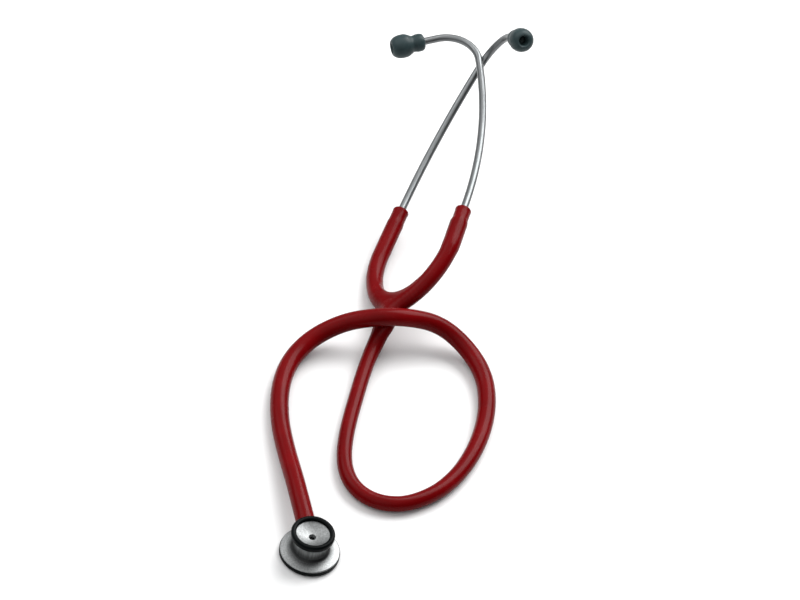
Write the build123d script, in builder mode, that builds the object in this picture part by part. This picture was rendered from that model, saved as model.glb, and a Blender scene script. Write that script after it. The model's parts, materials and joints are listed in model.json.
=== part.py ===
from build123d import *
import os
from math import cos, degrees, pi, radians, sin, sqrt, tan

# An infant-size acoustic stethoscope with a two-sided chestpiece, lying on a table.
# Millimetres. The origin is the centre of the diaphragm's face, on the table.
# +Z is up, and +Y runs from the chestpiece towards the headset.

os.makedirs("parts", exist_ok=True)

# ---------------------------------------------------------------- driving dimensions

fit_gap = 0.05            # radial clearance of every running or seated fit

# Chestpiece, turned about Z
rim_radius = 15.0         # outside of the rubber rim round the diaphragm
rim_height = 3.0
seat_radius = 13.9        # where the rim grips the body
flange_radius = 14.85     # the body's edge, flush on top of the rim
waist_radius = 8.4
bell_lip_radius = 9.6
bell_lip_height = 15.9
bell_rim_radius = 10.85
bell_rim_height = 16.7
bell_rim_inside = 8.25
cup_edge = 14.9           # height of the cup's metal edge, below the rim
cup_floor = 12.7          # height of the bell's sound hole mouth
cup_hole_radius = 1.75
diaphragm_radius = 13.4
diaphragm_thickness = 0.35

# Stem, turned about its own level axis through the middle of the chestpiece
stem_height = 9.2
stem_heading = 22.5       # degrees from +Y towards -X
bore_radius = 2.5
journal_radius = bore_radius - fit_gap
channel_radius = 1.2
tube_start = 11.0         # from the chestpiece's axis to the end face of the tubing
detent_place = 4.2        # from the chestpiece's axis to the detent ball

# Tubing
tube_radius = 4.3
lumen_radius = 2.1

# Headset: crotch of the Y and how its plane lies
crotch = Vector(14.42, 161.8, 14.15)
headset_heading = 8.39    # degrees from +Y towards +X
headset_pitch = 10.1      # degrees up from level
headset_roll = 40.8       # degrees, right side up
neck_end = Vector(12.4, 150.0, 9.8)

# Arms of the Y, in the headset plane
arm_radius = 4.5
arm_splay = 61.33         # each arm leaves the crotch this far from the middle line
arm_toe_in = 2.82         # and ends leaning in by this much
arm_bend = 45.7           # radius of its bow
arm_straight = {-1: 30.2, 1: 22.0}   # left and right, from the bow to the cuff's end
web_bend = 16.5           # radius of the crotch between the arms
web_bite = 0.3            # how far the web runs into the arms
cuff_radius = 4.25
cuff_length = 8.5
bulge_radius = {-1: 4.55, 1: 4.75}
bulge_length = {-1: 14.0, 1: 20.0}
neck_width = 12.4         # across the flat foot of the Y, just under the arms
neck_flat = 5.6           # thickness of that foot

# Leaf spring, moulded into the arms' inner walls
leaf_depth = 1.2          # under the arms' inner surface
leaf_thickness = 0.5
leaf_width = 3.4
leaf_tail = 0.6           # straight run at each end, stopping short of the ferrule

# Ear tubes
ear_tube_radius = 2.0
ear_tube_bore = 1.5
ear_tube_start = 26.56    # from the arm's bow to the start of the tube's own bow
ear_tube_bow = 257.7      # radius of the long gentle bow
ear_tube_run = 100.54     # length of that bow
ear_tube_bend = 17.16     # radius of the bend to the ear
ear_tube_turn = 100.11    # degrees
ear_tube_end = 7.64       # straight run from the bend to the eartip
twist = {-1: 21.06, 1: 35.6}    # each tube's plane is turned up this far out of the headset plane

# Ferrules and eartips
ferrule_radius = 3.0
ferrule_length = 12.0
nipple_radius = 2.6
nipple_length = 7.5
eartip_radius = 6.4
eartip_length = 18.2
eartip_hole = 1.4
eartip_mouth = 2.5

# Route of the tubing from the stem to the neck of the Y, each point chosen by hand
route = [
    (-4.2, 10.2, 9.2),
    (-9.5, 23.0, 9.2),
    (-15.6, 39.5, 8.0),
    (-22.5, 58.5, 5.4),
    (-28.9, 78.5, 4.4),
    (-32.5, 99.5, 4.4),
    (-31.3, 119.0, 4.8),
    (-24.0, 135.0, 7.2),
    (-11.0, 145.0, 13.0),
    (3.0, 147.8, 19.4),
    (21.5, 152.6, 21.0),
    (40.0, 160.3, 13.6),
    (56.0, 155.2, 6.4),
    (68.0, 139.5, 4.4),
    (72.8, 118.0, 4.4),
    (72.0, 95.0, 4.4),
    (66.5, 73.0, 4.4),
    (58.5, 57.5, 4.4),
    (49.5, 47.5, 4.4),
    (39.0, 40.5, 4.4),
    (27.0, 39.0, 4.4),
    (16.5, 43.5, 4.4),
    (9.5, 53.0, 4.4),
    (6.0, 66.5, 4.4),
    (5.2, 85.0, 4.4),
    (6.4, 105.0, 4.4),
    (7.7, 123.0, 4.4),
    (9.3, 136.0, 4.9),
    (11.0, 143.5, 6.5),
    (12.4, 150.0, 9.8),
]

# ---------------------------------------------------------------- frames

up = Vector(0, 0, 1)
stem_along = Vector(-sin(radians(stem_heading)), cos(radians(stem_heading)), 0)
stem_centre = Vector(0, 0, stem_height)

heading = radians(headset_heading)
pitch = radians(headset_pitch)
forward = Vector(sin(heading) * cos(pitch), cos(heading) * cos(pitch), sin(pitch))
level = Vector(cos(heading), -sin(heading), 0)
lateral = level.rotate(Axis((0, 0, 0), forward), -headset_roll)
headset = Plane(origin=crotch, x_dir=lateral, z_dir=lateral.cross(forward))

arm_centre_x = arm_bend * cos(radians(arm_splay))
arm_centre_y = arm_bend * sin(radians(arm_splay))
inner_bend = arm_bend - arm_radius
web_centre_y = arm_centre_y - sqrt((inner_bend - web_bend) ** 2 - arm_centre_x ** 2)
web_angle = degrees(Vector(arm_centre_x, web_centre_y - arm_centre_y).get_angle(Vector(1, 0)) * pi / 180)


def turn(corners, origin, along, aside, mode=Mode.ADD):
    """Revolve (radius, distance) corners about an axis, in the sub-part that is open."""
    with BuildSketch(Plane(origin=origin, x_dir=aside, z_dir=aside.cross(along))) as profile:
        with BuildLine():
            Polyline(*corners, close=True)
        make_face()
    revolve(profile.sketch, axis=Axis(origin, along), mode=mode)


def drill(origin, along, aside, radius, first, last):
    """Cut a round hole between two distances along an axis."""
    turn([(0, first), (radius, first), (radius, last), (0, last)], origin, along, aside, Mode.SUBTRACT)


def arm_arc(side, radius):
    """The bow of one arm about its centre, in the headset plane."""
    first = -arm_splay if side > 0 else 180 + arm_splay
    return CenterArc((-side * arm_centre_x, arm_centre_y), radius, first, side * (arm_splay + arm_toe_in))


def arm_frame(side):
    """Where one arm's straight run starts: its origin, its direction and its inward direction."""
    with BuildLine(headset) as bow:
        arm_arc(side, arm_bend)
    origin = bow.edge() @ 1
    along = bow.edge() % 1
    inward = along.cross(headset.z_dir) * -side
    return origin, along, inward


def ear_frame(side):
    """The plane in which one ear tube bends: Y along the arm, X towards the other ear."""
    origin, along, inward = arm_frame(side)
    towards = inward.rotate(Axis((0, 0, 0), along), side * twist[side])
    return Plane(origin=origin + along * ear_tube_start, x_dir=towards, z_dir=towards.cross(along))


def ear_centreline(side, extra=0.0):
    """The centreline of one ear tube, from inside the arm to the eartip."""
    inner_end = arm_straight[side] - cuff_length - ferrule_length - ear_tube_start
    with BuildLine(ear_frame(side)) as line:
        Line((0, inner_end), (0, 0))
        bow = CenterArc((ear_tube_bow, 0), ear_tube_bow, 180, -degrees(ear_tube_run / ear_tube_bow))
        bend = JernArc(bow @ 1, bow % 1, ear_tube_bend, -ear_tube_turn)
        Line(bend @ 1, (bend @ 1) + (bend % 1) * (ear_tube_end + extra))
    return line


def eartip_frame(side):
    """Where the eartip starts on the tube: its origin, its direction and a sideways direction."""
    end = ear_centreline(side).wires()[0]
    return end @ 1, end % 1, ear_frame(side).z_dir


# ---------------------------------------------------------------- chestpiece

with BuildPart() as chestpiece_body:
    with BuildSketch(Plane.XZ):
        with BuildLine():
            Polyline((0, cup_floor), (0, 2.3), (11.4, 1.0), (seat_radius, 1.0), (seat_radius, rim_height),
                     (flange_radius, rim_height), (flange_radius, rim_height + 0.3), (flange_radius - 0.4, 3.6), (10.6, 4.3))
            ThreePointArc((10.6, 4.3), (9.05, 4.9), (waist_radius, 6.4))
            Line((waist_radius, 6.4), (waist_radius, 10.7))
            ThreePointArc((waist_radius, 10.7), (8.75, 12.0), (bell_lip_radius, 12.9))
            Polyline((bell_lip_radius, 12.9), (bell_lip_radius, bell_lip_height), (8.95, bell_lip_height),
                     (8.95, cup_edge), (8.3, cup_edge - 0.1))
            ThreePointArc((8.3, cup_edge - 0.1), (5.0, 13.45), (cup_hole_radius, cup_floor))
            Line((cup_hole_radius, cup_floor), (0, cup_floor))
        make_face()
    revolve(axis=Axis.Z)
    drill(Vector(0, 0, 0), up, Vector(1, 0, 0), cup_hole_radius, stem_height, cup_floor + 0.5)
    drill(Vector(0, 0, 0), up, Vector(1, 0, 0), 1.5, 1.0, stem_height)
    drill(stem_centre, stem_along, up, bore_radius, -3.2, waist_radius + 2)
    drill(stem_centre, stem_along, up, bore_radius + 0.6, 6.75, 7.45)
    drill(stem_along * detent_place, up, Vector(1, 0, 0), 0.85, 1.0, stem_height)
chestpiece_body.part.label = "chestpiece_body"

with BuildPart() as diaphragm:
    turn(
        [(0, 0), (11.7, 0), (11.95, 0.5), (diaphragm_radius, 0.5), (diaphragm_radius, 0.5 + diaphragm_thickness),
         (11.7, 0.5 + diaphragm_thickness), (11.45, diaphragm_thickness), (0, diaphragm_thickness)],
        Vector(0, 0, 0), up, Vector(1, 0, 0),
    )
diaphragm.part.label = "diaphragm"

with BuildPart() as diaphragm_rim:
    turn(
        [(12.05, 0), (14.3, 0), (rim_radius, 0.9), (rim_radius, rim_height - 0.3), (14.75, rim_height - fit_gap),
         (seat_radius + fit_gap, rim_height - fit_gap), (seat_radius + fit_gap, 0.45), (12.05, 0.45)],
        Vector(0, 0, 0), up, Vector(1, 0, 0),
    )
diaphragm_rim.part.label = "diaphragm_rim"

with BuildPart() as bell_rim:
    turn(
        [(bell_lip_radius + fit_gap, 13.5), (10.3, 13.3), (bell_rim_radius, 14.0), (bell_rim_radius, 15.8),
         (10.2, bell_rim_height), (9.0, bell_rim_height), (bell_rim_inside, 16.2), (bell_rim_inside, cup_edge + fit_gap),
         (8.95 - fit_gap, cup_edge + fit_gap), (8.95 - fit_gap, bell_lip_height + fit_gap),
         (bell_lip_radius + fit_gap, bell_lip_height + fit_gap)],
        Vector(0, 0, 0), up, Vector(1, 0, 0),
    )
bell_rim.part.label = "bell_rim"

# ---------------------------------------------------------------- stem and its detent

with BuildPart() as stem:
    turn(
        [(0, -3.0), (journal_radius, -3.0), (journal_radius, 5.25), (1.8, 5.25), (1.8, 6.15), (journal_radius, 6.15),
         (journal_radius, 6.8), (2.0, 6.8), (2.0, 7.4), (journal_radius, 7.4), (journal_radius, 8.9), (3.0, 8.9),
         (3.0, 10.4), (2.1, 10.4), (2.1, 13.0), (2.45, 13.0), (2.1, 16.0), (2.1, 17.0), (2.45, 17.0), (2.1, 20.0),
         (2.1, 21.0), (2.45, 21.0), (1.9, 24.0), (0, 24.0)],
        stem_centre, stem_along, up,
    )
    drill(stem_centre, stem_along, up, channel_radius, -channel_radius, 25.0)
    drill(stem_centre, up, stem_along, channel_radius, 0, bore_radius)
    with BuildSketch(Plane(origin=stem_centre, x_dir=up, z_dir=up.cross(stem_along))) as track:
        with Locations((journal_radius + 0.25, detent_place)):
            Circle(0.85)
    revolve(track.sketch, axis=Axis(stem_centre, stem_along), mode=Mode.SUBTRACT)
    for facing in (1, -1):
        with Locations(stem_centre + stem_along * detent_place + up * facing * (journal_radius + 0.05)):
            Sphere(0.85, mode=Mode.SUBTRACT)
stem.part.label = "stem"

with BuildPart() as stem_o_ring:
    ring_plane = Plane(origin=stem_centre, x_dir=up, z_dir=up.cross(stem_along))
    with BuildSketch(ring_plane):
        with Locations((2.14, 5.7)):
            Circle(0.29)
    revolve(axis=Axis(stem_centre, stem_along))
stem_o_ring.part.label = "stem_o_ring"

with BuildPart() as stem_retaining_ring:
    turn(
        [(2.0 + fit_gap, 6.85), (3.0, 6.85), (3.0, 7.35), (2.0 + fit_gap, 7.35)],
        stem_centre, stem_along, up,
    )
    with Locations(Plane(origin=stem_centre + stem_along * 7.1 + up * 2.5, x_dir=up, z_dir=stem_along)):
        Box(1.4, 1.2, 1.0, mode=Mode.SUBTRACT)
stem_retaining_ring.part.label = "stem_retaining_ring"

detent_base = stem_along * detent_place

with BuildPart() as detent_ball:
    with Locations(detent_base + up * (stem_height - journal_radius - 0.22)):
        Sphere(0.75)
detent_ball.part.label = "detent_ball"

spring_bottom = 3.0
spring_top = stem_height - journal_radius - 0.22 - 0.5
spring_turns = 5
with BuildPart() as detent_spring:
    spring_height = spring_top - spring_bottom - 0.36
    with BuildLine():
        coil = Helix(
            pitch=spring_height / spring_turns, height=spring_height, radius=0.58,
            center=detent_base + up * (spring_bottom + 0.15),
        )
    with BuildSketch(Plane(origin=coil @ 0, z_dir=coil % 0)):
        Circle(0.11)
    sweep(path=coil)
detent_spring.part.label = "detent_spring"

with BuildPart() as detent_plug:
    turn(
        [(0, 2.05), (0.83, 2.05), (0.83, spring_bottom), (0, spring_bottom)],
        detent_base, up, Vector(1, 0, 0),
    )
detent_plug.part.label = "detent_plug"

# ---------------------------------------------------------------- tubing

points = [Vector(*point) for point in route]
radii = []
for before, here, after in zip(points, points[1:], points[2:]):
    half_turn = radians((here - before).get_angle(after - here)) / 2
    shorter = min((here - before).length, (after - here).length)
    radii.append(0.45 * shorter / tan(half_turn))
print("tubing bend radii:", [round(radius) for radius in radii])

with BuildPart() as tubing:
    with BuildLine():
        tube_path = FilletPolyline(*points, radius=radii)
    with BuildSketch(Plane(origin=tube_path @ 0, z_dir=tube_path % 0)):
        Circle(tube_radius)
        Circle(lumen_radius, mode=Mode.SUBTRACT)
    sweep(path=tube_path)
tubing.part.label = "tubing"

tube_section = pi * (tube_radius ** 2 - lumen_radius ** 2)
print("tubing length:", round(tube_path.length, 1))
print("tubing volume over section x length:", round(tubing.part.volume / (tube_section * tube_path.length), 4))

# ---------------------------------------------------------------- Y moulding and its leaf spring

with BuildPart() as binaural_spring:
    leaf_bend = inner_bend + leaf_depth
    with BuildLine(headset) as leaf_line:
        middle = CenterArc((0, web_centre_y), web_bend + leaf_depth, -180 + web_angle, 180 - 2 * web_angle)
        right_bow = CenterArc((-arm_centre_x, arm_centre_y), leaf_bend, -web_angle, web_angle + arm_toe_in)
        Line(right_bow @ 1, (right_bow @ 1) + (right_bow % 1) * leaf_tail)
        left_bow = CenterArc((arm_centre_x, arm_centre_y), leaf_bend, 180 + web_angle, -web_angle - arm_toe_in)
        Line(left_bow @ 1, (left_bow @ 1) + (left_bow % 1) * leaf_tail)
    leaf_wire = leaf_line.wires()[0]
    with BuildSketch(Plane(origin=leaf_wire @ 0, x_dir=headset.z_dir, z_dir=leaf_wire % 0)):
        Rectangle(leaf_width, leaf_thickness)
    sweep(path=leaf_wire)
binaural_spring.part.label = "binaural_spring"

with BuildPart() as yoke:
    for side in (-1, 1):
        start, along, inward = arm_frame(side)
        with BuildLine(headset):
            bow = arm_arc(side, arm_bend)
        with BuildSketch(Plane(origin=bow @ 0, x_dir=headset.z_dir, z_dir=bow % 0)):
            Circle(arm_radius)
            Circle(lumen_radius, mode=Mode.SUBTRACT)
        sweep(path=bow)
        cuff_end = arm_straight[side]
        cuff_start = cuff_end - cuff_length
        bulge = bulge_radius[side]
        bulge_start = max(cuff_start - bulge_length[side], 0.3)
        pocket_radius = ferrule_radius + fit_gap
        pocket_end = cuff_start + 0.2
        pocket_start = pocket_end - ferrule_length - 0.6
        turn(
            [(lumen_radius, 0), (arm_radius, 0), (arm_radius, bulge_start), (bulge, bulge_start + 2),
             (bulge, cuff_start - 2), (cuff_radius, cuff_start), (cuff_radius + 0.3, cuff_end - 0.7),
             (cuff_radius - 0.2, cuff_end), (lumen_radius, cuff_end), (lumen_radius, pocket_end),
             (pocket_radius, pocket_end), (pocket_radius, pocket_start), (lumen_radius, pocket_start)],
            start, along, headset.z_dir,
        )
    with BuildLine():
        neck = TangentArc(crotch, neck_end, tangent=forward * -1)
    with BuildSketch(Plane(origin=crotch, z_dir=forward * -1)):
        Circle(tube_radius)
    sweep(path=neck)
    with Locations(crotch):
        Sphere(arm_radius + 0.4)      # covers the joint of the neck and the arms
    with BuildSketch(headset):
        with BuildLine():
            web = CenterArc((0, web_centre_y), web_bend + web_bite, -180 + web_angle, 180 - 2 * web_angle)
            Polyline(web @ 1, (arm_radius, 0), (-arm_radius, 0), web @ 0)
        make_face()
    extrude(amount=arm_radius * 0.75, both=True)
    with BuildSketch(headset):
        with BuildLine():
            Polyline((-neck_width / 2, 1), (neck_width / 2, 1), (tube_radius, -9.5), (-tube_radius, -9.5), close=True)
        make_face()
    extrude(amount=neck_flat / 2, both=True)
    with BuildSketch(Plane(origin=crotch, z_dir=forward * -1)):
        Circle(lumen_radius)
    sweep(path=neck, mode=Mode.SUBTRACT)
    for side in (-1, 1):
        with BuildLine(headset):
            bow = arm_arc(side, arm_bend)
        across = (bow @ 0.3) - (bow @ 0)
        drill(bow @ 0, across.normalized(), headset.z_dir, channel_radius + 0.75, -1, across.length)
    add(binaural_spring.part, mode=Mode.SUBTRACT)
yoke.part.label = "yoke"

# ---------------------------------------------------------------- ear tubes, ferrules and eartips


def make_ear_side(side, name):
    """The four pieces of one side, each its own solid, returned by name."""
    start, along, inward = arm_frame(side)
    ferrule_end = arm_straight[side] - cuff_length
    with BuildPart() as ferrule:
        turn(
            [(ear_tube_radius + fit_gap, ferrule_end - ferrule_length), (ferrule_radius, ferrule_end - ferrule_length),
             (ferrule_radius, ferrule_end), (ear_tube_radius + fit_gap, ferrule_end)],
            start, along, headset.z_dir,
        )
    ferrule.part.label = name + "_ferrule"

    with BuildPart() as ear_tube:
        path = ear_centreline(side, nipple_length - 0.5).wires()[0]
        with BuildSketch(Plane(origin=path @ 0, x_dir=headset.z_dir, z_dir=path % 0)):
            Circle(ear_tube_radius)
            Circle(ear_tube_bore, mode=Mode.SUBTRACT)
        sweep(path=path)
    ear_tube.part.label = name + "_ear_tube"

    end, outward, aside = eartip_frame(side)
    with BuildPart() as nipple:
        turn(
            [(ear_tube_radius + fit_gap, 0.3), (nipple_radius, 0.3), (nipple_radius, 5.6), (nipple_radius + 0.4, 5.6),
             (nipple_radius + 0.4, 6.4), (nipple_radius, nipple_length), (ear_tube_bore, nipple_length),
             (ear_tube_bore, nipple_length - 0.45), (ear_tube_radius + fit_gap, nipple_length - 0.45)],
            end, outward, aside,
        )
    nipple.part.label = name + "_eartip_nipple"

    with BuildPart() as eartip:
        with BuildSketch(Plane(origin=end, x_dir=aside, z_dir=aside.cross(outward))):
            with BuildLine():
                Polyline((nipple_radius + fit_gap, 0), (4.4, 0), (4.9, 0.6), (4.9, 4.6), (4.6, 6.2))
                ThreePointArc((4.6, 6.2), (5.6, 8.3), (eartip_radius, 11.6))
                ThreePointArc((eartip_radius, 11.6), (5.9, 15.6), (3.6, eartip_length))
                Polyline(
                    (3.6, eartip_length), (eartip_mouth, eartip_length), (eartip_hole, eartip_length - 4),
                    (eartip_hole, nipple_length + 0.1), (nipple_radius + 0.45, nipple_length + 0.1),
                    (nipple_radius + 0.45, 5.5), (nipple_radius + fit_gap, 5.5), (nipple_radius + fit_gap, 0),
                )
            make_face()
        revolve(axis=Axis(end, outward))
    eartip.part.label = name + "_eartip"
    return [ferrule.part, ear_tube.part, nipple.part, eartip.part]


# ---------------------------------------------------------------- files

solids = [
    chestpiece_body.part, diaphragm.part, diaphragm_rim.part, bell_rim.part,
    stem.part, stem_o_ring.part, stem_retaining_ring.part,
    detent_ball.part, detent_spring.part, detent_plug.part,
    tubing.part, yoke.part, binaural_spring.part,
]
solids += make_ear_side(-1, "left")
solids += make_ear_side(1, "right")

for solid in solids:
    export_step(solid, "parts/" + solid.label + ".step")
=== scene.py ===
# An infant-size acoustic stethoscope with a two-sided chestpiece, lying on a pale floor.
# Metres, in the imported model's frame: the origin is the centre of the diaphragm's face.

import json
from math import atan2, cos, pi, radians, sin, sqrt

import bmesh
import bpy
from mathutils import Matrix, Vector


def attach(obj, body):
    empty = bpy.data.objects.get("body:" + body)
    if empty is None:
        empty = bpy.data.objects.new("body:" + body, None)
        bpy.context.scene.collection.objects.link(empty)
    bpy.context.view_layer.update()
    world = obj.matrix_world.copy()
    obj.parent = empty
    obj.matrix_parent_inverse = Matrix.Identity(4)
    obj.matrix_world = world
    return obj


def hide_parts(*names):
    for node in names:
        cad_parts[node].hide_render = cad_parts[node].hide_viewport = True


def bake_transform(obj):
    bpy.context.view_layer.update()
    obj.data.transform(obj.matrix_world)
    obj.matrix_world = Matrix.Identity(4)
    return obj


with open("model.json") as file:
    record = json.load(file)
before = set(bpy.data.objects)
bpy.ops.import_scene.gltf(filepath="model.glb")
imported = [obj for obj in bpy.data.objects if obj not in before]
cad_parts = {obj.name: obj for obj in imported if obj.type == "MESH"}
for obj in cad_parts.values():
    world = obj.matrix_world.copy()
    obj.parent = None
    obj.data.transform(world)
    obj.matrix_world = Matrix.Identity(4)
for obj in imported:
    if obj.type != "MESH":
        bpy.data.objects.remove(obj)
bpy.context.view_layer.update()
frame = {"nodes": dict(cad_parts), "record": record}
nodes = frame["nodes"]
MM = 0.001

# ---------------------------------------------------------------- camera

elevation = radians(45)
roll = radians(12)
look = Vector((0, cos(elevation), -sin(elevation)))
level_right = Vector((1, 0, 0))
level_up = Vector((0, sin(elevation), cos(elevation)))
right = level_right * cos(roll) + level_up * sin(roll)
upward = level_up * cos(roll) - level_right * sin(roll)
camera_data = bpy.data.cameras.new("camera")
camera_data.sensor_width = 36
camera_data.lens = 180
camera_data.clip_start = 0.05
camera_data.clip_end = 20
camera_place = Vector((17.676, -1288.707, 1473.328))
camera = bpy.data.objects.new("camera", camera_data)
bpy.context.collection.objects.link(camera)
turned = Matrix((right, upward, -look)).transposed().to_4x4()
camera.matrix_world = Matrix.Translation(camera_place * MM) @ turned
bpy.context.scene.camera = camera

# ---------------------------------------------------------------- headset layout, as in the CAD, in millimetres

crotch = Vector((14.42, 161.8, 14.15))
neck_end = Vector((11.5, 150.0, 9.8))
heading = radians(8.39)
pitch = radians(10.1)
headset_roll = radians(40.8)
forward = Vector((sin(heading) * cos(pitch), cos(heading) * cos(pitch), sin(pitch)))
lateral = Matrix.Rotation(-headset_roll, 3, forward) @ Vector((cos(heading), -sin(heading), 0))
outward = lateral.cross(forward)

arm_splay = radians(61.33)
arm_toe_in = radians(2.82)
arm_bend = 45.7
arm_straight = {-1: 30.2, 1: 22.0}
arm_radius = 4.5
bulge_radius = {-1: 4.5, 1: 4.75}
cuff_length = 8.5
bulge_length = {-1: 14.0, 1: 20.0}
ferrule_length = 12.0
web_bend = 16.5
leaf_depth = 1.2            # of the leaf spring's middle under the inner side of an arm
ear_tube_radius = 2.0
ear_start = 26.56
ear_bow = 257.7
ear_run = 100.54
ear_bend = 17.16
ear_turn = radians(100.11)
ear_end = 7.64
twist = {-1: radians(21.06), 1: radians(35.6)}
side_name = {-1: "left", 1: "right"}

centre_x = arm_bend * cos(arm_splay)
centre_y = arm_bend * sin(arm_splay)
inner_bend = arm_bend - arm_radius
web_centre_y = centre_y - sqrt((inner_bend - web_bend) ** 2 - centre_x ** 2)
web_angle = atan2(centre_y - web_centre_y, centre_x)


def at_headset(x, y, z=0.0):
    """A point of the headset's own frame, in millimetres from the crotch."""
    return crotch + lateral * x + forward * y + outward * z


def arm_point(side, angle, radius=arm_bend):
    """A point on an arm's bow: angle 0 is its widest place, and it grows towards the ear."""
    return at_headset(side * (radius * cos(angle) - centre_x), centre_y + radius * sin(angle))


def arm_end_frame(side):
    """Where an arm's straight run starts, which way it goes, and which way is inward."""
    along = forward * cos(arm_toe_in) - lateral * (side * sin(arm_toe_in))
    inward = along.cross(outward) * -side
    return arm_point(side, arm_toe_in), along, inward


def ear_path(side):
    """The centreline of an ear tube, with its last direction and the direction across its bend."""
    start, along, inward = arm_end_frame(side)
    origin = start + along * ear_start
    towards = Matrix.Rotation(side * twist[side], 3, along) @ inward
    inner_end = start + along * (arm_straight[side] - cuff_length - ferrule_length)
    points = [inner_end, (inner_end + origin) / 2, origin]
    bowed = ear_run / ear_bow
    bow_steps = 24
    for step in range(1, bow_steps + 1):
        angle = bowed * step / bow_steps
        points.append(origin + along * ear_bow * sin(angle) + towards * ear_bow * (1 - cos(angle)))
    here = points[-1]
    heading_now = along * cos(bowed) + towards * sin(bowed)
    inward_now = towards * cos(bowed) - along * sin(bowed)
    bend_steps = 40
    for step in range(1, bend_steps + 1):
        angle = ear_turn * step / bend_steps
        points.append(here + heading_now * ear_bend * sin(angle) + inward_now * ear_bend * (1 - cos(angle)))
    last = heading_now * cos(ear_turn) + inward_now * sin(ear_turn)
    points.append(points[-1] + last * ear_end)
    return points, last, towards.cross(along)


# ---------------------------------------------------------------- mesh helpers


def link(name, data):
    """A new object in the scene with this mesh or light."""
    made = bpy.data.objects.new(name, data)
    bpy.context.collection.objects.link(made)
    return made


def finish_mesh(mesh, sharp=40):
    """Smooth shading, with edges sharper than this many degrees kept."""
    for polygon in mesh.polygons:
        polygon.use_smooth = True
    mesh.set_sharp_from_angle(angle=radians(sharp))
    mesh.update()


def spots(*corners):
    """The corners of a profile as vectors."""
    return [Vector(corner) for corner in corners]


def rounded(corners, size, steps=4):
    """Corners with each inner one replaced by a small curve."""
    line = [Vector(corner) for corner in corners]
    made = [line[0]]
    for before, here, after in zip(line, line[1:], line[2:]):
        back = (before - here).length
        on = (after - here).length
        cut = min(size, back * 0.45, on * 0.45)
        first = here + (before - here) / back * cut
        last = here + (after - here) / on * cut
        for step in range(steps + 1):
            t = step / steps
            made.append(first * (1 - t) ** 2 + here * 2 * t * (1 - t) + last * t ** 2)
    made.append(line[-1])
    return made


def lathe(name, profile, origin, along, aside, segments, closed=True):
    """A turned piece: (radius, distance) points about an axis, in millimetres."""
    across = along.cross(aside)
    smallest_radius = 0.02
    build = bmesh.new()
    rings = []
    for radius, distance in profile:
        ring = []
        for segment in range(segments):
            angle = 2 * pi * segment / segments
            ray = aside * cos(angle) + across * sin(angle)
            ring.append(build.verts.new((origin + along * distance + ray * max(radius, smallest_radius)) * MM))
        rings.append(ring)
    pairs = list(zip(rings, rings[1:]))
    if closed:
        pairs.append((rings[-1], rings[0]))
    for low, high in pairs:
        for segment in range(segments):
            following = (segment + 1) % segments
            build.faces.new((low[segment], low[following], high[following], high[segment]))
    bmesh.ops.recalc_face_normals(build, faces=build.faces)
    mesh = bpy.data.meshes.new(name)
    build.to_mesh(mesh)
    build.free()
    finish_mesh(mesh)
    return link(name, mesh)


def tube_rings(points, shape, segments, normal):
    """Rings of points round a path. shape gives (half width, half depth) at a share of its length."""
    lengths = [0.0]
    for before, after in zip(points, points[1:]):
        lengths.append(lengths[-1] + (after - before).length)
    rings = []
    side = normal.copy()
    for index, point in enumerate(points):
        before = points[max(index - 1, 0)]
        after = points[min(index + 1, len(points) - 1)]
        along = (after - before).normalized()
        side = (side - along * side.dot(along)).normalized()
        across = along.cross(side)
        wide, deep = shape(lengths[index] / lengths[-1], lengths[index])
        rings.append([
            point + across * (wide * cos(2 * pi * k / segments)) + side * (deep * sin(2 * pi * k / segments))
            for k in range(segments)
        ])
    return rings


def skin(name, rings, sharp=40):
    """A closed skin over rings, with a disc at each end."""
    build = bmesh.new()
    made = [[build.verts.new(point * MM) for point in ring] for ring in rings]
    count = len(made[0])
    for low, high in zip(made, made[1:]):
        for k in range(count):
            n = (k + 1) % count
            build.faces.new((low[k], low[n], high[n], high[k]))
    build.faces.new(made[0])
    build.faces.new(made[-1])
    bmesh.ops.recalc_face_normals(build, faces=build.faces)
    mesh = bpy.data.meshes.new(name)
    build.to_mesh(mesh)
    build.free()
    finish_mesh(mesh, sharp)
    return link(name, mesh)


# ---------------------------------------------------------------- materials


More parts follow.
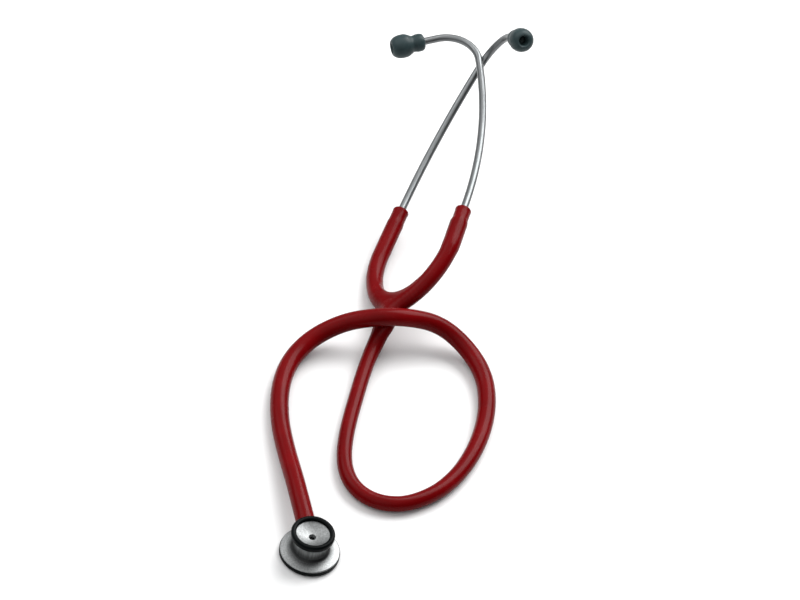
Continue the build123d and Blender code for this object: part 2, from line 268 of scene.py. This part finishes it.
class Shader:
    """A node material with one Principled shader and short calls for its nodes."""

    def __init__(self, name, color, roughness, metallic=0.0, **sockets):
        self.material = bpy.data.materials.new(name)
        self.material.use_nodes = True
        self.tree = self.material.node_tree
        self.principled = self.tree.nodes["Principled BSDF"]
        self.principled.inputs["Base Color"].default_value = (*color, 1)
        self.principled.inputs["Roughness"].default_value = roughness
        self.principled.inputs["Metallic"].default_value = metallic
        for socket, value in sockets.items():
            self.principled.inputs[socket.replace("_", " ")].default_value = value
        self.place = self.tree.nodes.new("ShaderNodeTexCoord").outputs["Object"]
        self.height = None

    def join(self, output, target):
        self.tree.links.new(output, target)

    def noise(self, scale, detail, stretch=None):
        texture = self.tree.nodes.new("ShaderNodeTexNoise")
        texture.inputs["Scale"].default_value = scale
        texture.inputs["Detail"].default_value = detail
        source = self.place
        if stretch:
            mapping = self.tree.nodes.new("ShaderNodeMapping")
            mapping.inputs["Scale"].default_value = stretch
            self.join(self.place, mapping.inputs["Vector"])
            source = mapping.outputs["Vector"]
        self.join(source, texture.inputs["Vector"])
        return texture.outputs["Fac"]

    def rings(self, scale, distortion):
        texture = self.tree.nodes.new("ShaderNodeTexWave")
        texture.wave_type = "RINGS"
        texture.rings_direction = "Z"
        texture.inputs["Scale"].default_value = scale
        texture.inputs["Distortion"].default_value = distortion
        self.join(self.place, texture.inputs["Vector"])
        return texture.outputs["Fac"]

    def spread(self, value, low, high, first=0.3, last=0.7):
        """Low to high as the value goes from first to last."""
        node = self.tree.nodes.new("ShaderNodeMapRange")
        node.inputs["From Min"].default_value = first
        node.inputs["From Max"].default_value = last
        node.inputs["To Min"].default_value = low
        node.inputs["To Max"].default_value = high
        self.join(value, node.inputs["Value"])
        return node.outputs["Result"]

    def math(self, operation, first, second):
        node = self.tree.nodes.new("ShaderNodeMath")
        node.operation = operation
        self.join(first, node.inputs[0])
        self.join(second, node.inputs[1])
        return node.outputs["Value"]

    def product(self, first, second):
        return self.math("MULTIPLY", first, second)

    def larger(self, first, second):
        return self.math("MAXIMUM", first, second)

    def add(self, first, second):
        return self.math("ADD", first, second)

    def colours(self, value, stops):
        """A base colour picked by the value from (position, colour) stops."""
        ramp = self.tree.nodes.new("ShaderNodeValToRGB")
        elements = ramp.color_ramp.elements
        elements[0].position, elements[0].color = stops[0][0], (*stops[0][1], 1)
        elements[1].position, elements[1].color = stops[-1][0], (*stops[-1][1], 1)
        for position, color in stops[1:-1]:
            elements.new(position).color = (*color, 1)
        self.join(value, ramp.inputs["Fac"])
        self.join(ramp.outputs["Color"], self.principled.inputs["Base Color"])

    def rough(self, value, low, high):
        self.join(self.spread(value, low, high), self.principled.inputs["Roughness"])

    def bump(self, value, strength, distance):
        """Fine relief, added to the relief that is there."""
        node = self.tree.nodes.new("ShaderNodeBump")
        node.inputs["Strength"].default_value = strength
        node.inputs["Distance"].default_value = distance
        self.join(value, node.inputs["Height"])
        if self.height is not None:
            self.join(self.height, node.inputs["Normal"])
        self.height = node.outputs["Normal"]
        self.join(self.height, self.principled.inputs["Normal"])


def red_vinyl():
    made = Shader("red_vinyl", (0.122, 0.0008, 0.0016), 0.25, Specular_IOR_Level=0.06)
    stops = [(0.3, (0.102, 0.0005, 0.001)), (0.52, (0.12, 0.0008, 0.0016)), (0.75, (0.145, 0.0014, 0.0024))]
    made.colours(made.noise(55, 4), stops)
    made.rough(made.noise(240, 3), 0.21, 0.29)
    made.bump(made.noise(130, 2), 0.08, 0.0004)
    made.bump(made.noise(2600, 2), 0.06, 0.00006)
    return made.material


def polished_steel():
    made = Shader("polished_steel", (0.62, 0.64, 0.65), 0.2, 1.0)
    made.colours(made.noise(90, 3), [(0.3, (0.58, 0.60, 0.61)), (0.7, (0.66, 0.68, 0.69))])
    made.rough(made.noise(420, 4), 0.14, 0.24)
    made.bump(made.rings(1500, 0.6), 0.05, 0.00002)
    return made.material


def turned_steel_painted_shade():
    """The chestpiece: satin flange, streaked waist and brushed cup, with painted shade at the waist's foot and in the
    cup, and a painted shadow inside the sound hole.
    """
    made = Shader("turned_steel_painted_shade", (0.45, 0.47, 0.48), 0.34, 1.0)
    split = made.tree.nodes.new("ShaderNodeSeparateXYZ")
    made.join(made.place, split.inputs["Vector"])
    height = split.outputs["Z"]
    flat = made.tree.nodes.new("ShaderNodeVectorMath")
    flat.operation = "MULTIPLY"
    flat.inputs[1].default_value = (1, 1, 0)
    made.join(made.place, flat.inputs[0])
    length = made.tree.nodes.new("ShaderNodeVectorMath")
    length.operation = "LENGTH"
    made.join(flat.outputs["Vector"], length.inputs[0])
    radius = length.outputs["Value"]
    # Brightness: a painted shadow, black, in the sound hole; streaked all over; painted shade, dark, at the waist's
    # foot and fading out across the flange; and painted shade, duller, in the cup
    streaks = made.spread(made.noise(1500, 3, (1, 1, 0.02)), 0.24, 0.42)
    # Painted shadow: near black inside the sound hole
    outside_hole = made.spread(radius, 0.02, 1.0, 0.00168, 0.0018)
    # Painted shade: darker towards the waist's foot, by distance from the axis here and by height below
    flange = made.spread(radius, 0.08, 0.74, 0.0095, 0.0125)
    waist = made.spread(height, 0.02, 1.0, 0.0052, 0.0095)
    # Painted shade: the cup darker than the waist
    cup = made.spread(height, 1.0, 0.66, 0.0112, 0.0128)
    shade = made.larger(flange, made.product(waist, cup))
    brightness = made.product(made.product(outside_hole, streaks), shade)
    made.colours(brightness, [(0.0, (0, 0, 0)), (1.0, (0.97, 1.0, 1.0))])
    # Roughness: satin on the flange, smoother on the waist, satin again in the cup
    from_flange = made.spread(height, 0.46, 0.34, 0.0045, 0.0065)
    into_cup = made.spread(height, 0.0, 0.14, 0.0118, 0.0125)
    made.join(made.add(from_flange, into_cup), made.principled.inputs["Roughness"])
    made.bump(made.noise(2200, 3, (1, 1, 0.02)), 0.12, 0.00003)
    made.bump(made.rings(1800, 0.6), 0.06, 0.00002)
    return made.material


def satin_aluminium():
    made = Shader("satin_aluminium", (0.155, 0.162, 0.165), 0.36, 1.0)
    made.colours(made.noise(70, 3), [(0.3, (0.142, 0.149, 0.152)), (0.7, (0.168, 0.175, 0.178))])
    made.rough(made.noise(900, 4, (1, 0.1, 1)), 0.31, 0.41)
    made.bump(made.noise(3500, 2, (1, 0.06, 1)), 0.08, 0.00002)
    return made.material


def spring_steel():
    made = Shader("spring_steel", (0.55, 0.55, 0.57), 0.3, 1.0)
    made.colours(made.noise(300, 3), [(0.3, (0.48, 0.48, 0.5)), (0.7, (0.6, 0.6, 0.62))])
    made.rough(made.noise(1200, 3, (1, 0.1, 1)), 0.24, 0.38)
    made.bump(made.noise(4000, 2, (1, 0.08, 1)), 0.1, 0.00002)
    return made.material


def black_rubber():
    made = Shader("black_rubber", (0.0012, 0.002, 0.0022), 0.32, Specular_IOR_Level=0.045)
    made.colours(made.noise(220, 4), [(0.3, (0.0008, 0.0015, 0.0017)), (0.7, (0.0016, 0.0026, 0.0028))])
    made.rough(made.noise(600, 3), 0.28, 0.42)
    made.bump(made.noise(2400, 3), 0.12, 0.00005)
    return made.material


def eartip_rubber():
    made = Shader("eartip_rubber", (0.02, 0.035, 0.038), 0.4, Specular_IOR_Level=0.18)
    made.colours(made.noise(160, 4), [(0.3, (0.015, 0.028, 0.030)), (0.7, (0.024, 0.041, 0.044))])
    made.rough(made.noise(500, 3), 0.36, 0.5)
    made.bump(made.noise(1800, 3), 0.1, 0.00005)
    return made.material


def nipple_plastic():
    made = Shader("nipple_plastic", (0.04, 0.04, 0.045), 0.45)
    made.colours(made.noise(300, 3), [(0.3, (0.03, 0.03, 0.034)), (0.7, (0.05, 0.05, 0.056))])
    made.bump(made.noise(1500, 3), 0.1, 0.00005)
    return made.material


def diaphragm_resin():
    made = Shader("diaphragm_resin", (0.8, 0.81, 0.82), 0.3, Coat_Weight=0.3)
    made.colours(made.noise(500, 4), [(0.3, (0.76, 0.77, 0.78)), (0.7, (0.84, 0.85, 0.86))])
    made.bump(made.noise(6000, 3), 0.12, 0.00003)
    return made.material


def brass():
    made = Shader("brass", (0.7, 0.52, 0.24), 0.3, 1.0)
    made.rough(made.noise(800, 3), 0.25, 0.38)
    made.bump(made.rings(2500, 0.5), 0.08, 0.00002)
    return made.material


slot_material = {
    "polished_steel": polished_steel(),
    "diaphragm_resin": diaphragm_resin(),
    "rim_rubber": black_rubber(),
    "spring_steel": spring_steel(),
    "brass_plug": brass(),
    "red_tubing": red_vinyl(),
    "ear_tube_aluminium": satin_aluminium(),
    "nipple_plastic": nipple_plastic(),
    "eartip_rubber": eartip_rubber(),
}


def paint(piece, material):
    piece.data.materials.clear()
    piece.data.materials.append(material)


def dress(piece, body, slot, *stands_for):
    """A finished piece: its body, its material, and the CAD nodes it stands for."""
    paint(piece, slot_material[slot])
    if body:
        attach(piece, body)
    if stands_for:
        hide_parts(*stands_for)


for subpart in frame["record"]["subparts"]:
    paint(nodes[subpart["node"]], slot_material[subpart["material_slot"]])

# ---------------------------------------------------------------- tubing, a cord

route = [
    (-4.2, 10.2, 9.2),
    (-9.1, 23.0, 9.2),
    (-15.0, 39.5, 8.0),
    (-22.1, 58.5, 5.5),
    (-28.9, 78.5, 4.7),
    (-32.5, 99.5, 4.7),
    (-31.3, 119.0, 4.8),
    (-24.0, 135.0, 7.2),
    (-11.0, 145.0, 13.0),
    (3.0, 147.8, 19.4),
    (21.5, 152.6, 21.0),
    (40.0, 160.3, 13.6),
    (56.0, 155.2, 6.4),
    (68.0, 139.5, 4.7),
    (72.8, 118.0, 4.6),
    (72.0, 95.0, 4.4),
    (66.5, 73.0, 4.2),
    (58.5, 57.5, 4.1),
    (49.5, 47.5, 4.0),
    (39.0, 40.5, 4.0),
    (27.0, 39.0, 4.0),
    (16.5, 43.5, 4.0),
    (9.5, 53.0, 4.0),
    (6.0, 66.5, 4.0),
    (5.2, 85.0, 4.0),
    (6.1, 105.0, 4.0),
    (7.1, 123.0, 4.2),
    (8.5, 136.0, 4.9),
    (10.1, 143.5, 6.5),
    (11.5, 150.0, 9.8),
]
line = bpy.data.curves.new("tube_line", "CURVE")
line.dimensions = "3D"
spline = line.splines.new("NURBS")
spline.points.add(len(route) - 1)
for control, place in zip(spline.points, route):
    control.co = (*(Vector(place) * MM), 1)
spline.order_u = 3
spline.use_endpoint_u = True
spline.resolution_u = 10
line_object = bpy.data.objects.new("tube_line", line)
line_mesh = bpy.data.meshes.new_from_object(line_object)
tube_path = [vertex.co / MM for vertex in line_mesh.vertices]
bpy.data.objects.remove(line_object)
bpy.data.curves.remove(line)
bpy.data.meshes.remove(line_mesh)


def smooth_step(value):
    value = min(max(value, 0), 1)
    return value * value * (3 - 2 * value)


def end_round(distance, length):
    """How much of an end's rounding is left at this distance from the end: 1 at the end, 0 past the length."""
    inside = 1 - min(distance / length, 1)
    return 1 - sqrt(max(1 - inside ** 2, 0))


def tube_shape(share, distance):
    """The moulded tube thins from the chestpiece to the Y and swells again into the Y's neck."""
    radius = 4.8 - 0.3 * share
    radius -= 0.65 * smooth_step((share - 0.5) / 0.22)
    radius += 0.5 * smooth_step((share - 0.955) / 0.04)
    radius -= 0.5 * end_round(distance, 0.9)
    return radius, radius


tube = skin("tube", tube_rings(tube_path, tube_shape, 40, Vector((0, 0, 1))), sharp=60)
dress(tube, "tube_and_spring", "red_tubing", "tubing")

# ---------------------------------------------------------------- Y moulding


def neck_points():
    """From a little way down the tubing into the crotch, along the CAD neck."""
    bend_point = crotch - forward * ((crotch - neck_end).length / 2)
    tube_end = [point for point in tube_path if point.y > 130]
    made = [point for point in tube_end if 0.5 < (point - neck_end).length < 8]
    steps = 12
    for step in range(steps + 1):
        t = step / steps
        made.append(neck_end * (1 - t) ** 2 + bend_point * 2 * t * (1 - t) + crotch * t ** 2)
    return made


def arm_points(side):
    """The centreline of one arm, from inside the crotch to its end."""
    made = []
    bow_steps = 36
    for step in range(bow_steps + 1):
        made.append(arm_point(side, -arm_splay + (arm_splay + arm_toe_in) * step / bow_steps))
    start, along, _ = arm_end_frame(side)
    straight_steps = 40
    for step in range(1, straight_steps + 1):
        made.append(start + along * arm_straight[side] * step / straight_steps)
    return made


def arm_shape(side):
    """How thick one arm is: a long low swelling round the ferrule, then a thinner cuff with a slight lip."""
    length = arm_bend * (arm_splay + arm_toe_in) + arm_straight[side]
    cuff_radius = 4.2
    bulge_start = cuff_length + bulge_length[side] + 2

    def shape(share, distance):
        from_end = length - distance
        radius = arm_radius
        radius += (bulge_radius[side] - arm_radius) * smooth_step((bulge_start - from_end) / 5)
        radius -= (bulge_radius[side] - cuff_radius) * smooth_step((cuff_length + 1.5 - from_end) / 3.5)
        radius += 0.2 * smooth_step((2.2 - from_end) / 1.8)
        radius -= 0.6 * end_round(from_end, 0.6)
        return radius, radius

    return shape


def neck_shape(share, distance):
    """The Y's foot: as wide as the tube where it starts, and spread out towards the arms."""
    wide = 4.1 + 2.2 * smooth_step(share / 0.62)
    deep = 4.1 + 0.45 * smooth_step(share / 0.5)
    return wide, deep


def web_mesh():
    """The web in the crotch, thicker at its middle, as a closed skin between the arms."""
    rings = []
    steps = 28
    sides = 16
    depth = 4.3
    edge_radius = web_bend + 0.15
    for step in range(steps + 1):
        angle = -pi + web_angle + (pi - 2 * web_angle) * step / steps
        top = Vector((edge_radius * cos(angle), web_centre_y + edge_radius * sin(angle)))
        root = Vector((top.x * 0.5, min(top.y * 0.35, 2.0)))
        ring = []
        for k in range(sides):
            turn = 2 * pi * k / sides
            spot = (top + root) / 2 + (top - root) / 2 * cos(turn)
            ring.append(at_headset(spot.x, spot.y, depth * sin(turn)))
        rings.append(ring)
    return skin("web", rings)


parts = [skin("neck", tube_rings(neck_points(), neck_shape, 48, outward)), web_mesh()]
for side in (-1, 1):
    parts.append(skin("arm", tube_rings(arm_points(side), arm_shape(side), 48, outward)))

# The parts become one skin, which is smoothed, most of all near the crotch, and cut at its middle plane

whole = bmesh.new()
for part in parts:
    whole.from_mesh(part.data)
    bpy.data.objects.remove(part)
mould_mesh = bpy.data.meshes.new("mould")
whole.to_mesh(mould_mesh)
whole.free()
mould = link("mould", mould_mesh)
remesh = mould.modifiers.new("remesh", "REMESH")
remesh.mode = "VOXEL"
remesh.voxel_size = 0.00042
bpy.context.view_layer.update()
depsgraph = bpy.context.evaluated_depsgraph_get()
fused = bpy.data.meshes.new_from_object(mould.evaluated_get(depsgraph))
bpy.data.objects.remove(mould)

smoothed = bmesh.new()
smoothed.from_mesh(fused)


def smooth(verts, passes, factor):
    for _ in range(passes):
        bmesh.ops.smooth_vert(smoothed, verts=verts, factor=factor, use_axis_x=True, use_axis_y=True, use_axis_z=True)


crotch_place = at_headset(0, 3) * MM
for reach, passes in ((0.019, 12), (0.017, 16), (0.015, 20), (0.013, 26), (0.011, 36), (0.009, 40)):
    near = [vert for vert in smoothed.verts if (vert.co - crotch_place).length < reach]
    smooth(near, passes, 0.5)
smooth(smoothed.verts, 3, 0.4)
bmesh.ops.bisect_plane(
    smoothed, geom=smoothed.verts[:] + smoothed.edges[:] + smoothed.faces[:], dist=1e-7,
    plane_co=crotch * MM, plane_no=lateral,
)
smoothed.normal_update()
smoothed.verts.index_update()
kept_normal = [vert.normal.copy() for vert in smoothed.verts]
marker = smoothed.verts.layers.int.new("whole_index")
for vert in smoothed.verts:
    vert[marker] = vert.index


def half(side):
    """One side of the moulding, shaded as the whole."""
    part = smoothed.copy()
    layer = part.verts.layers.int["whole_index"]
    drop = [f for f in part.faces if (f.calc_center_median() - crotch * MM).dot(lateral) * side < 0]
    bmesh.ops.delete(part, geom=drop, context="FACES")
    mesh = bpy.data.meshes.new("half")
    normals = [kept_normal[vert[layer]] for vert in part.verts]
    part.to_mesh(mesh)
    part.free()
    for polygon in mesh.polygons:
        polygon.use_smooth = True
    mesh.normals_split_custom_set_from_vertices(normals)
    return mesh


def bend_with_arm(piece):
    """Bakes the piece's placement into its mesh."""
    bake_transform(piece)


for side in (-1, 1):
    piece = link(side_name[side] + "_mould", half(side))
    stands_for = ["yoke"] if side < 0 else []
    dress(piece, None, "red_tubing", *stands_for)
    bend_with_arm(piece)

# Leaf spring, moulded in: one strip for each side

leaf_curl = web_bend + leaf_depth
leaf_tail = 0.6
leaf_section = (0.25, 1.6)  # half thickness, half width


def leaf_points(side):
    """The middle of the strip on one side, from the middle of the web to its end in the arm."""
    made = []
    web_steps = 8
    for step in range(web_steps + 1):
        angle = -pi / 2 + (pi / 2 - web_angle) * step / web_steps
        made.append(at_headset(side * leaf_curl * cos(angle), web_centre_y + leaf_curl * sin(angle)))
    arm_steps = 16
    for step in range(1, arm_steps + 1):
        angle = -web_angle + (web_angle + arm_toe_in) * step / arm_steps
        made.append(arm_point(side, angle, inner_bend + leaf_depth))
    along = arm_end_frame(side)[1]
    made.append(made[-1] + along * leaf_tail)
    return made


for side in (-1, 1):
    piece = skin(
        side_name[side] + "_leaf",
        tube_rings(leaf_points(side), lambda share, distance: leaf_section, 16, outward),
    )
    stands_for = ["binaural_spring"] if side < 0 else []
    dress(piece, None, "spring_steel", *stands_for)
    bend_with_arm(piece)

# ---------------------------------------------------------------- ear tubes and eartips

# Collar, bulb, mouth, and the air way inside; each point is (radius, distance from the collar's end)
eartip_profile = rounded(
    [(2.1, 0.9), (2.35, 0.1), (3.5, 0), (4.55, 0.9), (4.9, 2.4), (4.85, 4.2), (4.5, 5.6), (4.5, 6.4)], 0.7,
)
eartip_profile += spots(
    (4.7, 6.9), (5.1, 7.6), (5.65, 8.5), (6.1, 9.5), (6.35, 10.6), (6.42, 11.8), (6.38, 13.2), (6.2, 14.5),
    (5.85, 15.7), (5.3, 16.7), (4.6, 17.5), (4.0, 18.0), (3.4, 18.15), (2.9, 17.9), (2.6, 17.3),
)
eartip_profile += spots(
    (2.35, 16.3), (2.1, 15.0), (1.9, 14.2), (1.8, 11.0), (0.4, 10.8), (0.4, 8.0), (2.1, 7.9),
)

for side in (-1, 1):
    name = side_name[side]
    body = name + "_ear"
    points, last, aside = ear_path(side)
    pipe = tube_rings(points, lambda share, distance: (ear_tube_radius, ear_tube_radius), 40, aside)
    piece = skin(name + "_pipe", pipe, sharp=60)
    dress(piece, body, "ear_tube_aluminium", name + "_ear_tube")
    piece = lathe(name + "_tip", eartip_profile, points[-1], last, aside, 72)
    dress(piece, body, "eartip_rubber", name + "_eartip")

# ---------------------------------------------------------------- chestpiece

up = Vector((0, 0, 1))
east = Vector((1, 0, 0))
zero = Vector((0, 0, 0))
stem_along = Vector((-sin(radians(22.5)), cos(radians(22.5)), 0))
stem_centre = Vector((0, 0, 9.2))

# The body from its underside out to the flange, up the waist to the lip, and down the cup into the sound hole
profile = rounded(
    [(0.02, 2.3), (11.4, 1.0), (13.9, 1.0), (13.9, 3.0), (14.85, 3.0), (14.85, 3.3), (14.5, 3.62), (10.6, 4.3)], 0.18,
)
profile += spots(
    (10.1, 4.42), (9.6, 4.64), (9.15, 4.95), (8.75, 5.4), (8.5, 5.9), (8.4, 6.5),
    (8.4, 9.0), (8.4, 10.7), (8.48, 11.3), (8.7, 11.9), (9.1, 12.45), (9.6, 12.9),
)
profile += rounded([(9.6, 12.95), (9.6, 15.9), (8.95, 15.9), (8.95, 14.9), (8.3, 14.8)], 0.1)
profile += spots((7.6, 14.5), (6.8, 14.15), (5.8, 13.75), (4.6, 13.33), (3.4, 12.98), (2.5, 12.8))
profile += rounded([(2.15, 12.74), (1.75, 12.66), (1.75, 9.6), (0.02, 9.6)], 0.12)
piece = lathe("chestpiece_shell", profile, zero, up, east, 128, closed=False)
dress(piece, "chestpiece", "polished_steel", "chestpiece_body")
paint(piece, turned_steel_painted_shade())

profile = rounded(
    [(12.05, 0.45), (12.05, 0.0), (14.3, 0.0), (15.0, 0.9), (15.0, 2.75), (14.8, 2.95), (13.95, 2.95), (13.95, 0.45)],
    0.3,
)
piece = lathe("wide_rim", profile, zero, up, east, 128)
dress(piece, "chestpiece", "rim_rubber", "diaphragm_rim")

profile = rounded(
    [(9.65, 13.7), (9.7, 13.25), (10.3, 13.3), (10.85, 14.0), (10.85, 15.8), (10.2, 16.7), (9.0, 16.7), (8.25, 16.2),
     (8.25, 14.93), (8.9, 14.95), (8.9, 15.95), (9.65, 15.95)],
    0.4,
)
piece = lathe("bell_edge", profile, zero, up, east, 128)
dress(piece, "chestpiece", "rim_rubber", "bell_rim")

profile = rounded(
    [(1.2, 7.6), (2.45, 7.6), (2.45, 8.9), (3.0, 8.9), (3.0, 10.4), (2.1, 10.4), (2.1, 13.0), (2.45, 13.0),
     (2.1, 16.0), (2.1, 17.0), (2.45, 17.0), (2.1, 20.0), (2.1, 21.0), (2.45, 21.0), (1.9, 24.0), (1.2, 24.0)],
    0.2,
)
piece = lathe("stem_shell", profile, stem_centre, stem_along, up, 64)
dress(piece, "tube_and_spring", "polished_steel")

# ---------------------------------------------------------------- floor and light

floor_mesh = bpy.data.meshes.new("floor")
floor_mesh.from_pydata([(-6, -6, 0), (6, -6, 0), (6, 6, 0), (-6, 6, 0)], [], [(0, 1, 2, 3)])
floor = link("floor", floor_mesh)
floor.location.z = -0.0001
floor_shader = Shader("floor", (0.7, 0.7, 0.7), 0.6)
floor_shader.colours(floor_shader.noise(3, 2), [(0.3, (0.7, 0.7, 0.7)), (0.7, (0.71, 0.71, 0.71))])
paint(floor, floor_shader.material)

# A soft sky, brighter overhead and on the left, so that round metal darkens towards the right
world = bpy.data.worlds.new("world")
bpy.context.scene.world = world
world.use_nodes = True
sky = world.node_tree
background = sky.nodes["Background"]
direction = sky.nodes.new("ShaderNodeTexCoord")
parts_of = sky.nodes.new("ShaderNodeSeparateXYZ")
sky.links.new(direction.outputs["Generated"], parts_of.inputs["Vector"])
by_height = sky.nodes.new("ShaderNodeValToRGB")
by_height.color_ramp.elements[0].position = 0.0
by_height.color_ramp.elements[0].color = (0.05, 0.055, 0.06, 1)
by_height.color_ramp.elements[1].position = 0.8
by_height.color_ramp.elements[1].color = (1, 1, 1, 1)
by_height.color_ramp.elements.new(0.35).color = (0.3, 0.31, 0.32, 1)
sky.links.new(parts_of.outputs["Z"], by_height.inputs["Fac"])
by_side = sky.nodes.new("ShaderNodeMapRange")
by_side.inputs["From Min"].default_value = -0.1
by_side.inputs["From Max"].default_value = 0.55
by_side.inputs["To Min"].default_value = 1.0
by_side.inputs["To Max"].default_value = 0.12
sky.links.new(parts_of.outputs["X"], by_side.inputs["Value"])
mixed = sky.nodes.new("ShaderNodeVectorMath")
mixed.operation = "SCALE"
sky.links.new(by_height.outputs["Color"], mixed.inputs[0])
sky.links.new(by_side.outputs["Result"], mixed.inputs["Scale"])
sky.links.new(mixed.outputs["Vector"], background.inputs["Color"])
background.inputs["Strength"].default_value = 1.5


def softbox(name, place, size, power):
    """A square light turned to the middle of the stethoscope."""
    data = bpy.data.lights.new(name, "AREA")
    data.shape = "RECTANGLE"
    data.size = size
    data.size_y = size
    data.energy = power
    made = link(name, data)
    made.location = place
    made.rotation_euler = (Vector((0.02, 0.17, 0)) - Vector(place)).to_track_quat("-Z", "Y").to_euler()


softbox("key", (0.85, 1.45, 1.6), 1.7, 74)
softbox("fill", (-1.3, 0.5, 1.3), 1.2, 9)
bpy.context.scene.view_settings.view_transform = "Standard"
